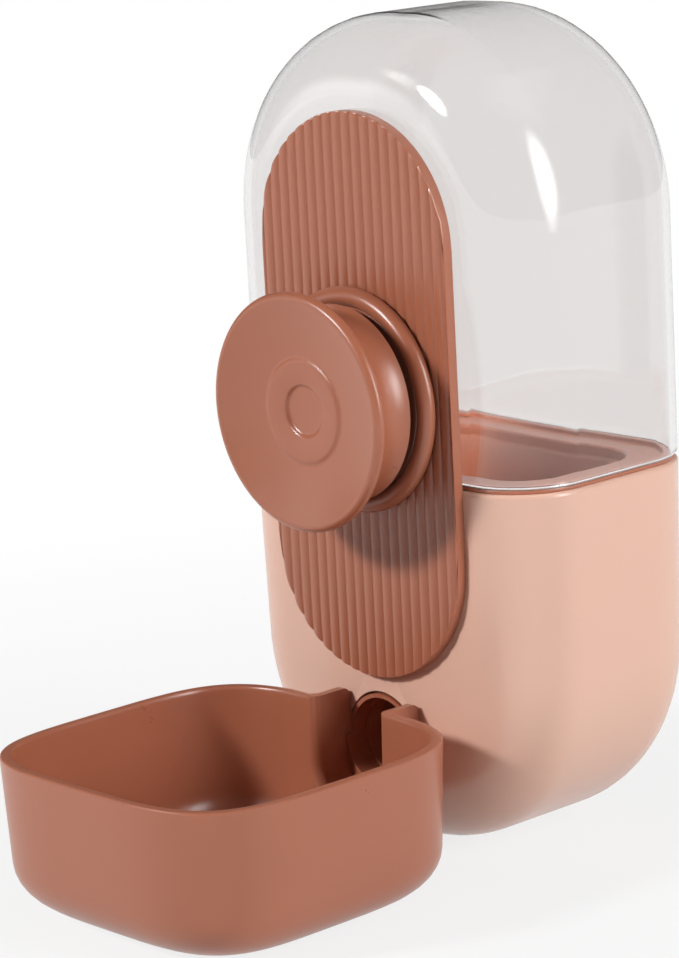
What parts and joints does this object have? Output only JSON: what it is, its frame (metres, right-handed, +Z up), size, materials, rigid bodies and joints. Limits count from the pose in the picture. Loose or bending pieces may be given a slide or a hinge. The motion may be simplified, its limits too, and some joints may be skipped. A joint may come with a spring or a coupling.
{
  "type": "cage-mounted water bottle",
  "caption": "Clear tank on a plastic base that feeds a plug-in square bowl, hung on cage bars by a ribbed plate and a dished screw knob.",
  "frame": {"origin": "the point where the knob's axis meets the front face of the ribbed plate", "axes": "+Z up, -Y from the body towards the cage and the bowl, +X along the body's width"},
  "size_m": [0.115, 0.1745, 0.2228],
  "materials": {
    "blush_plastic": "satin",
    "terracotta_plastic": "satin",
    "clear_plastic": "polished",
    "steel": "zinc plated",
    "brass": "turned",
    "milky_plastic": "matte",
    "silicone": "matte"
  },
  "bodies": {
    "base": {"base_shell": "blush_plastic", "mount_plate": "terracotta_plastic", "plate_screws": "steel", "clamp_stud": "steel", "water_well": "terracotta_plastic", "well_screws": "steel"},
    "jaw": {"clamp_jaw": "terracotta_plastic"},
    "knob": {"knob_body": "terracotta_plastic", "knob_nut": "brass", "jaw_clip": "steel"},
    "bowl": {"bowl": "terracotta_plastic", "bowl_seal": "silicone"},
    "tank": {"clear_tank": "clear_plastic", "tank_floor": "terracotta_plastic", "tank_seal": "silicone", "spring_bridge": "milky_plastic", "valve_spring": "steel"},
    "gasket": {"cap_gasket": "silicone"},
    "cap": {"valve_cap": "milky_plastic"},
    "valve": {"valve_plunger": "milky_plastic", "valve_washer": "silicone"}
  },
  "joints": [
    {"name": "jaw_travel", "type": "slide", "parent": "base", "child": "jaw", "axis": [0, -1, 0], "range_m": [0, 0.01001]},
    {"name": "knob_turn", "type": "hinge", "parent": "jaw", "child": "knob", "pos_m": [0, 0, 0], "axis": [0, -1, 0], "range_deg": [0, 1440]},
    {"name": "bowl_pull", "type": "slide", "parent": "base", "child": "bowl", "axis": [0, -1, 0], "range_m": [0, 0.06]},
    {"name": "tank_lift", "type": "slide", "parent": "base", "child": "tank", "axis": [0, 0, 1], "range_m": [0, 0.095]},
    {"name": "cap_travel", "type": "slide", "parent": "tank", "child": "gasket", "axis": [0, 0, -1], "range_m": [0, 0.01201]},
    {"name": "cap_turn", "type": "hinge", "parent": "gasket", "child": "cap", "pos_m": [0, 0.03805, -0.08], "axis": [0, 0, -1], "range_deg": [0, 1440]},
    {"name": "valve_push", "type": "slide", "parent": "tank", "child": "valve", "axis": [0, 0, 1], "range_m": [0, 0.0015], "stiffness_N_per_m": 100, "springref_m": -0.006, "deforming": ["valve_spring"]}
  ],
  "couplings": [
    {"joint": "jaw_travel", "follows": "knob_turn", "m_per_rad": 0.00039789},
    {"joint": "cap_travel", "follows": "cap_turn", "m_per_rad": 0.00047746}
  ]
}
